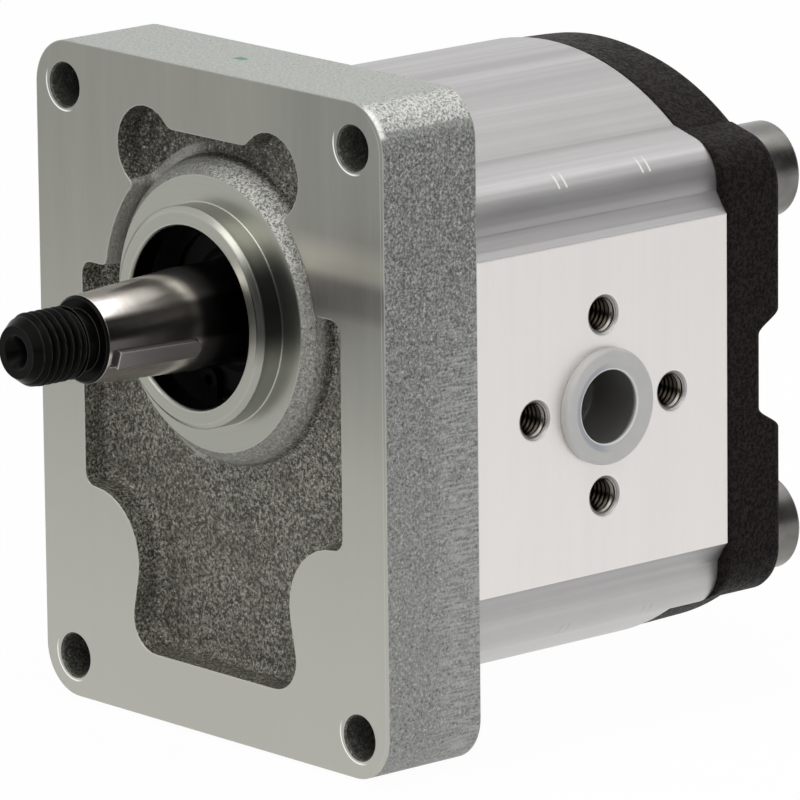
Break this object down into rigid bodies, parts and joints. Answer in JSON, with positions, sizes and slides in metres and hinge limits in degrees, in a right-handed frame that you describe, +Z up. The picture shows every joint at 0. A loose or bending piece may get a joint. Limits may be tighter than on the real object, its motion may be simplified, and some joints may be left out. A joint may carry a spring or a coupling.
{
  "type": "hydraulic gear pump",
  "caption": "External gear pump with a rectangular mounting flange, round pilot, keyed taper shaft, side ports and long bolts through the body.",
  "frame": {"origin": "shaft axis where it crosses the flange's mounting face", "axes": "-Y along the shaft, out of the pilot; +Y towards the rear cover; +Z up the flange, away from the driven gear; +X out of the pressure port"},
  "size_m": [0.089, 0.136, 0.1105],
  "materials": {
    "cover_iron": "bare cast, faces machined",
    "body_aluminium": "extruded, port faces milled",
    "black_iron": "black cast",
    "shaft_steel": "ground, thread end black",
    "gear_steel": "ground",
    "block_aluminium": "machined",
    "bush_bronze": "smooth",
    "seal_rubber": "matt black",
    "backup_plastic": "off-white",
    "spring_steel": "bright wire",
    "dark_steel": "phosphated",
    "key_steel": "dark",
    "bolt_zinc": "zinc plated",
    "plug_plastic": "translucent"
  },
  "bodies": {
    "housing": {"front_cover": "cover_iron", "pump_body": "body_aluminium", "rear_cover": "black_iron", "front_bearing_block": "block_aluminium", "rear_bearing_block": "block_aluminium", "drive_front_bush": "bush_bronze", "driven_front_bush": "bush_bronze", "drive_rear_bush": "bush_bronze", "driven_rear_bush": "bush_bronze", "front_pressure_seal": "seal_rubber", "rear_pressure_seal": "seal_rubber", "front_backup_ring": "backup_plastic", "rear_backup_ring": "backup_plastic", "front_case_seal": "seal_rubber", "rear_case_seal": "seal_rubber", "shaft_seal": "seal_rubber", "garter_spring": "spring_steel", "seal_retaining_ring": "dark_steel", "cover_bolts": "bolt_zinc", "front_dowels": "gear_steel", "rear_dowels": "gear_steel"},
    "drive": {"drive_gear": "shaft_steel", "shaft_key": "key_steel"},
    "driven": {"driven_gear": "gear_steel"},
    "pressure_plug": {"pressure_port_plug": "plug_plastic"},
    "suction_plug": {"suction_port_plug": "plug_plastic"}
  },
  "joints": [
    {"name": "drive_spin", "type": "hinge", "parent": "housing", "child": "drive", "pos_m": [0, 0.04675, 0], "axis": [0, 1, 0], "continuous": true},
    {"name": "driven_spin", "type": "hinge", "parent": "housing", "child": "driven", "pos_m": [0, 0.04675, -0.031], "axis": [0, 1, 0], "continuous": true},
    {"name": "pressure_plug_pull", "type": "slide", "parent": "housing", "child": "pressure_plug", "axis": [1, 0, 0], "range_m": [0, 0.03]},
    {"name": "suction_plug_pull", "type": "slide", "parent": "housing", "child": "suction_plug", "axis": [-1, 0, 0], "range_m": [0, 0.03]}
  ],
  "couplings": [
    {"joint": "driven_spin", "follows": "drive_spin", "ratio": -1}
  ]
}
